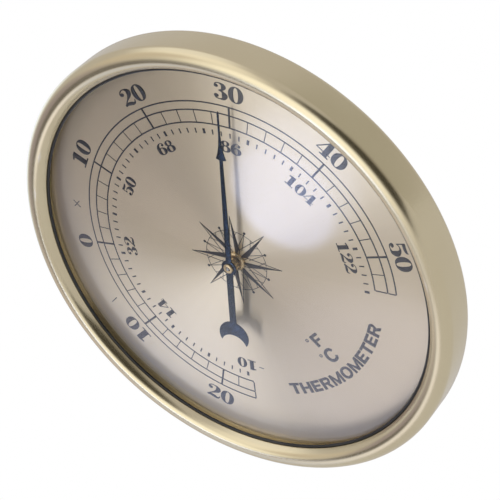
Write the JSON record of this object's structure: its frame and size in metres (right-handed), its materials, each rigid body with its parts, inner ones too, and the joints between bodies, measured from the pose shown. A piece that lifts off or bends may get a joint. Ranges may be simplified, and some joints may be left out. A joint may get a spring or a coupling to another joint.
{
  "type": "dial thermometer",
  "caption": "Round panel dial thermometer: satin-gold bezel, domed glass, printed dial, blued hand on a bimetal coil, vented rear can.",
  "frame": {"origin": "centre of the panel hole, in the plane of the bezel's rear edge", "axes": "dial faces -Y; +Z points to the top of the dial; +X to the right seen from the front; +Y goes into the panel"},
  "size_m": [0.072, 0.0125, 0.072],
  "materials": {
    "bezel_gold": "satin gold anodised",
    "glass": "polished",
    "black_rubber": "matte",
    "dial_metal": "spun champagne",
    "brass": "turned",
    "blued_steel": "blued",
    "steel": "satin",
    "bimetal": "rolled strip",
    "print_ink": "printed",
    "can_black": "fine texture"
  },
  "bodies": {
    "root": {"bezel": "bezel_gold", "glass": "glass", "glass_gasket": "black_rubber", "spacer_ring": "bezel_gold", "dial_plate": "dial_metal", "dial_bush": "brass", "bridge": "brass", "bridge_pillar_left": "brass", "bridge_pillar_right": "brass", "bridge_screw_left": "steel", "bridge_screw_right": "steel", "rear_can": "can_black", "retaining_ring": "steel", "friction_ring": "black_rubber", "friction_washer": "steel"},
    "regulator": {"regulator_hub": "brass", "regulator_lever": "steel", "coil_stud": "brass", "bimetal_coil": "bimetal"},
    "spindle": {"pointer": "blued_steel", "pointer_pipe": "brass", "pointer_cap": "brass", "arbor": "steel", "coil_collet": "brass"}
  },
  "joints": [
    {"name": "regulator_turn", "type": "hinge", "parent": "root", "child": "regulator", "pos_m": [0, 0, 0], "axis": [0, -1, 0], "range_deg": [-15, 15]},
    {"name": "pointer_turn", "type": "hinge", "parent": "regulator", "child": "spindle", "pos_m": [0, 0, 0], "axis": [0, -1, 0], "range_deg": [-83.36, 184.08], "stiffness_Nm_per_rad": 0.00005, "deforming": ["bimetal_coil"]}
  ]
}
